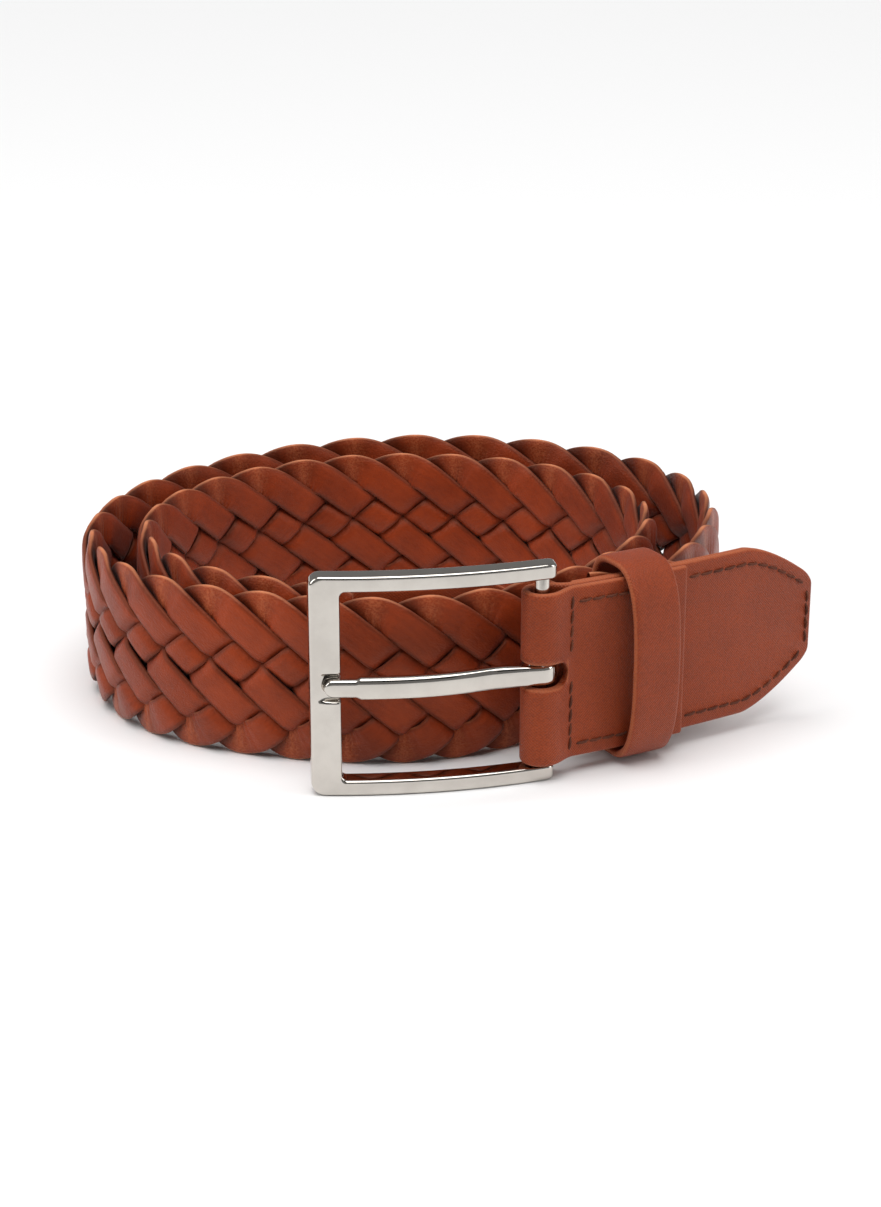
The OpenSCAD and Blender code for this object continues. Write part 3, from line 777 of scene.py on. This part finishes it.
# ---- Buckle frame -------------------------------------------------------------------------------
# A three-sided frame cast in one piece: a broad far bar with a rest for the prong and two slimmer
# arms, bowed forward in plan, its edges well rounded by polishing.
# The outline is walked from an arm's end, round the upper corner, to the middle of the far bar, as
# pairs of points on its outer and inner sides; the lower half mirrors it.
ARM_END, OUT_Z, IN_Z, OUT_X, IN_X, OUT_R, IN_R = -2.7, FRAME_H / 2, 19.05, 44.7, 38.8, 2.4, 1.2
out_pts, in_pts = [], []
for x in np.concatenate([[ARM_END, -2.6, -2.4, -2.0, -1.5], np.linspace(-0.8, 36.5, 34)]):
    f = (x - ARM_END) / (36.5 - ARM_END)
    out_pts.append((ARM_END + f * 45.0, OUT_Z))
    in_pts.append((ARM_END + f * 40.3, IN_Z))
for a in np.radians(np.linspace(88, 2, 14)):
    c, s = math.cos(a), math.sin(a)
    out_pts.append((OUT_X - OUT_R + OUT_R * c, OUT_Z - OUT_R + OUT_R * s))
    in_pts.append((IN_X - IN_R + IN_R * c, IN_Z - IN_R + IN_R * s))
for z in np.concatenate([np.linspace(17, 4, 12), np.linspace(3.6, 0, 13)]):
    out_pts.append((OUT_X, z))
    in_pts.append((IN_X, z))
out_pts += [(x, -z) for x, z in out_pts[-2::-1]]
in_pts += [(x, -z) for x, z in in_pts[-2::-1]]
theta = np.linspace(0, 2 * math.pi, 65)[:-1]
rings = []
for i, ((xo, zo), (xi, zi)) in enumerate(zip(out_pts, in_pts)):
    end = min(i, len(out_pts) - 1 - i)
    k = [0.35, 0.6, 0.82, 0.94, 0.99][end] if end < 5 else 1.0    # rounds the arms' ends
    a, depth = power(np.cos(theta), 0.36) * k, power(np.sin(theta), 0.36) * k * 2.18
    x = (xo + xi) / 2 + (xo - xi) / 2 * a
    z = (zo + zi) / 2 + (zo - zi) / 2 * a
    # the prong's rest is pressed into the front of the far bar
    sink = 1 - np.clip((np.abs(z) - 2.55) / 0.35, 0, 1) if xo > 44 else np.zeros(len(x))
    sink = sink * np.clip((42.6 - x) / 0.5, 0, 1)
    depth = np.where(depth > 0, depth - 1.15 * sink * np.clip(depth / 1.6, 0, 1), depth)
    rings.append(at_buckle(np.column_stack([x, frame_bow(x) + depth, z])))
nickel_piece("cast_frame", rings, "buckle", "buckle_frame")

# ---- Hinge bar ----------------------------------------------------------------------------------
# A drawn steel pin, plated with the frame and pressed into its two arms, that carries the fold of
# the tab and the prong.
nickel_piece("pin", [at_buckle([(r * math.cos(t), r * math.sin(t), z)
                                for t in np.linspace(0, 2 * math.pi, 33)[:-1]])
                     for z, r in ((-21.45, 1.1), (-21.3, 1.4), (-21.0, 1.5),
                                  (21.0, 1.5), (21.3, 1.4), (21.45, 1.1))], "buckle", "hinge_bar")

# ---- Prong --------------------------------------------------------------------------------------
# A cast tongue curled round the bar at its root, domed in front and flat behind, rising in a gentle
# bow and stepped down to a narrower tip that drops into the rest on the far bar.
REST_Y, PRONG_END, EYE_R, ROOT = 2.9, 42.0, 2.27, 11     # ROOT: where the shank joins its bow
curl = [(EYE_R * math.cos(a), EYE_R * math.sin(a)) for a in np.radians(np.linspace(328, 96, 30))]


def prong_rise(x):
    """How far forward the shank's middle stands, x from the bar."""
    t = (np.asarray(x, float) - 2.6) / (FRAME_L - 3.6)
    return REST_Y * t + 3.6 * np.sin(math.pi * t) * (1 - 0.35 * t)


x = np.concatenate([np.linspace(0, 34, 44), np.linspace(34.4, 36.6, 10), np.linspace(37, 40.6, 10),
                    PRONG_END - np.array([1.1, 0.8, 0.55, 0.35, 0.18, 0.06, 0])])
t = np.clip(x / ROOT, 0, 1)
slope = (prong_rise(ROOT + 0.1) - prong_rise(ROOT)) / 0.1
leaving = (2.3 * (2 * t ** 3 - 3 * t ** 2 + 1) + prong_rise(ROOT) * (3 * t ** 2 - 2 * t ** 3)
           + ROOT * slope * (t ** 3 - t ** 2))
way = np.concatenate([curl, np.column_stack([x, np.where(x < ROOT, leaving, prong_rise(x))])])
d = np.gradient(way, axis=0)
d /= np.linalg.norm(d, axis=1)[:, None]
rings = []
for i, (p, q) in enumerate(zip(way, d)):
    # half width and half thickness: thin in the eye, fuller in the shank, stepped down at the tip
    width, thick = 1.95, 0.68
    if i >= len(curl):
        full, step = smooth(p[0] / 9), smooth((p[0] - 35.0) / 1.2)
        width = 1.95 + 0.25 * full - 0.42 * step
        thick = 0.68 + 0.50 * full - 0.22 * step
    if i > len(way) - 14:
        tip = math.sqrt(max(0.04, 1 - (1 - min((PRONG_END - p[0]) / 1.7, 1)) ** 2))
        width, thick = width * tip, thick * (0.45 + 0.55 * tip)
    else:
        width, thick = width * [0.75, 0.9, 1.0][min(i, 2)], thick * [0.6, 0.85, 1.0][min(i, 2)]
    s = np.sin(theta)
    y = np.where(s > 0, thick * power(s, 0.85), thick * power(s, 0.35))
    z = width * power(np.cos(theta), 0.6)
    rings.append(at_buckle(np.column_stack([p[0] - q[1] * y, p[1] + q[0] * y, z])))
nickel_piece("cast_prong", rings, "prong_body", "prong")

# ---- Keeper staple ------------------------------------------------------------------------------
# A short wire staple pressed through the overlapped ends of the loop at the back to hold it closed.
WIRE_R = 0.38
leg = [(3.45, -0.35), (3.45, 0.1), (3.36, 0.30), (3.1, 0.42), (2.0, 0.45)]
legs = np.array([(-x, y) for x, y in leg] + leg[::-1])
d = np.gradient(legs, axis=0)
d /= np.linalg.norm(d, axis=1)[:, None]
rings = []
for p, q in zip(legs, d):
    a = np.linspace(0, 2 * math.pi, 13)[:-1]
    along, back = p[0] - q[1] * WIRE_R * np.cos(a), p[1] + q[0] * WIRE_R * np.cos(a)
    rings.append(at_keeper(along, -(KEEP_D / 2 + back), WIRE_R * np.sin(a)) / 1000)
nickel_piece("staple", rings, "keeper", "keeper_staple")


# ---- Thread -------------------------------------------------------------------------------------
# Three-ply waxed polyester, dark brown. Each stitch is a short hump of twisted thread that dives
# into the leather at both ends and lies a little across its row.
def waxed_thread():
    material, b, s = finish_for("waxed_thread")
    body = b.node("ShaderNodeTexCoord", out=3)
    fuzz = b.node("ShaderNodeTexNoise", Vector=body, Scale=2600.0, Detail=4.0, Roughness=0.7)
    dye = b.node("ShaderNodeTexNoise", Vector=body, Scale=120.0, Detail=2.0)
    dive_shade = b.attribute("dive_shade")           # 1 in the needle holes
    base = b.mix(b.bands(dye * 0.5 + fuzz * 0.5, 0.35, 0.65), (0.072, 0.016, 0.006),
                 (0.135, 0.034, 0.013))
    # painted shade: the thread turns near black where it dives into its needle holes
    base = b.mix(b.bands(dive_shade, 0.62, 0.9), base, (0.014, 0.004, 0.002))
    b.feed(s, Base_Color=base, Roughness=0.50 + fuzz * 0.3, Specular_IOR_Level=0.3,
           Normal=b.node("ShaderNodeBump", Strength=0.5, Distance=0.00006, Height=fuzz))
    return material


def stitch_tree():
    """One twisted stitch on each guide point, aimed along "aim" and standing on "face"."""
    t, b, get = tree_with("stitches", "Stitches", ("Guide", "Geometry", None),
                          ("Length", "Float", 0.0023), ("Radius", "Float", 0.00036),
                          ("Height", "Float", 0.0007), ("Turns", "Float", 1.4), ("Seed", "Int", 3),
                          ("Thread", "Material", None))
    half = get["Length"] * 0.5
    low = get["Radius"] * -1.3
    start = b.node("ShaderNodeCombineXYZ", X=half * -1, Y=0.0, Z=low)
    middle = b.node("ShaderNodeCombineXYZ", X=0.0, Y=0.0, Z=get["Height"])
    end = b.node("ShaderNodeCombineXYZ", X=half, Y=0.0, Z=low)
    hump = b.node("GeometryNodeCurveQuadraticBezier", Resolution=14, Start=start, Middle=middle,
                  End=end)
    along = b.node("GeometryNodeSplineParameter")
    # 1 at the stitch's ends, where it dives into the leather; used for painted shade
    hump = b.node("GeometryNodeStoreNamedAttribute", {"data_type": "FLOAT", "domain": "POINT"},
                  Geometry=hump, Name="dive_shade", Value=(along * 2 - 1).size())
    hump = b.node("GeometryNodeSetCurveTilt", Curve=hump, Tilt=along * get["Turns"] * (2 * math.pi))
    # three plies: the section has three lobes, turned along the stitch
    ring = b.node("GeometryNodeCurvePrimitiveCircle", Resolution=12, Radius=get["Radius"])
    index = b.node("GeometryNodeInputIndex")
    lobes = (index * (math.pi / 2))._sum("COSINE") * 0.14 + 0.90
    ring = b.node("GeometryNodeSetPosition", Geometry=ring,
                  Position=b.vector("SCALE", b.node("GeometryNodeInputPosition"), Scale=lobes))
    body = b.node("GeometryNodeCurveToMesh", Curve=hump, Profile_Curve=ring, Fill_Caps=True)
    aim, face = (b.node("GeometryNodeInputNamedAttribute", {"data_type": "FLOAT_VECTOR"}, Name=a)
                 for a in ("aim", "face"))
    turn = b.node("FunctionNodeAlignRotationToVector", {"axis": "X"}, Vector=aim)
    turn = b.node("FunctionNodeAlignRotationToVector", {"axis": "Z", "pivot_axis": "X"},
                  Rotation=turn, Vector=face)
    vary = b.node("FunctionNodeRandomValue", {"data_type": "FLOAT"}, out=1, i2=0.92, i3=1.06,
                  Seed=get["Seed"])
    points = b.node("GeometryNodeMeshToPoints", Mesh=get["Guide"])
    sown = b.node("GeometryNodeInstanceOnPoints", Points=points, Instance=body, Rotation=turn,
                  Scale=b.node("ShaderNodeCombineXYZ", X=vary, Y=1.0, Z=vary))
    real = b.node("GeometryNodeRealizeInstances", Geometry=sown)
    done = b.node("GeometryNodeSetMaterial", Material=get["Thread"],
                  Geometry=b.node("GeometryNodeSetShadeSmooth", Geometry=real))
    b.feed(t.nodes.new("NodeGroupOutput"), i0=done)
    return t


thread_material, stitches = waxed_thread(), stitch_tree()


def sewn(name, rows, node):
    """Sews a row given as (place in mm, aim, face) for each stitch."""
    place, aim, face = (np.array(column) for column in zip(*rows))
    g = guide_mesh(name, place / 1000, aim=aim, face=face)
    o = grown(name, stitches, g, {"Length": 0.0028, "Radius": 0.00029, "Height": 0.0010, "Turns": 1.4,
                                  "Seed": 3, "Thread": thread_material})
    outward(o)
    settle(o, "strap", node)


def on_tab(q, v, w, slant):
    """A stitch on the tab's front at q along, v up and w forward, turned by slant degrees."""
    h, p, a = float(tab_turn(q)), tab_point(q, w), math.radians(slant)
    aim = (math.cos(a) * math.cos(h), math.cos(a) * math.sin(h), math.sin(a))
    return (p[0], p[1], TAB_Z + v), aim, (math.sin(h), -math.cos(h), 0.0)


# ---- Bar stitching ------------------------------------------------------------------------------
# A column of stitches hard against the hinge bar that locks the fold, broken by the prong's slot.
PITCH, INSET, COLUMN_AT = 2.9, 3.0, 5.4
sewn("bar_stitches", [on_tab(COLUMN_AT, i * PITCH, float(flap_offset(COLUMN_AT)) + TAB_T / 2, 82)
                      for i in range(-5, 6) if abs(i * PITCH + TAB_Z - BUCKLE_Z) > 3.6],
     "bar_stitching")

# ---- Flap stitching -----------------------------------------------------------------------------
# The long rows along the front flap's edges, through both flaps and the braid between them.
for name, v, node in (("flap_stitches_top", TAB_H / 2 - INSET, "flap_stitching_top"),
                      ("flap_stitches_bottom", -TAB_H / 2 + INSET, "flap_stitching_bottom")):
    q = COLUMN_AT + 1.6 + (np.arange(7) + 0.5) * PITCH
    sewn(name, [on_tab(a, v, float(flap_offset(a)) + TAB_T / 2, 5) for a in q], node)


# ---- Tongue stitching ---------------------------------------------------------------------------
# A row that follows the tongue's outline all the way round and holds the lining to its back.
def row_half(q):
    """How high the row runs at q, inside the tongue's edge without its rounded corner."""
    here, ahead = (float(tongue_half(min(a, TONGUE_END), corner=0.01)) for a in (q, q + 2.6))
    return min(here - INSET, ahead - 1.2)


LAST_COLUMN = 64.6
row_q = [33.2]
while row_q[-1] < LAST_COLUMN:
    fall = math.atan(row_half(row_q[-1] + 1) - row_half(row_q[-1]))
    row_q.append(row_q[-1] + PITCH * math.cos(fall))
row_q.pop()
rows = []
for a, c in zip(row_q, row_q[1:]):
    fall = math.degrees(math.atan2(row_half(c) - row_half(a), c - a))
    rows += [on_tab((a + c) / 2, hand * (row_half(a) + row_half(c)) / 2, -0.1, hand * fall + 5)
             for hand in (-1, 1)]
rows += [on_tab(LAST_COLUMN, i * PITCH, -0.1, 95) for i in (-1.5, -0.5, 0.5, 1.5)]
sewn("tongue_stitches", rows, "tongue_stitching")

# ---- Tip stitching ------------------------------------------------------------------------------
# Two rows that close the tip's plies on the braid, sewn from the outer side.
rows = []
for i in range(9):
    s = 665 + i * PITCH
    h = float(np.interp(s, route_s, route_head))
    rows += [(strap_point(s, v, tip_offset(s) + TIP_T / 2), (math.cos(h), math.sin(h), 0.04),
              (math.sin(h), -math.cos(h), 0.0)) for v in (INSET - TIP_HALF, TIP_HALF - INSET)]
sewn("tip_stitches", rows, "tip_stitching")
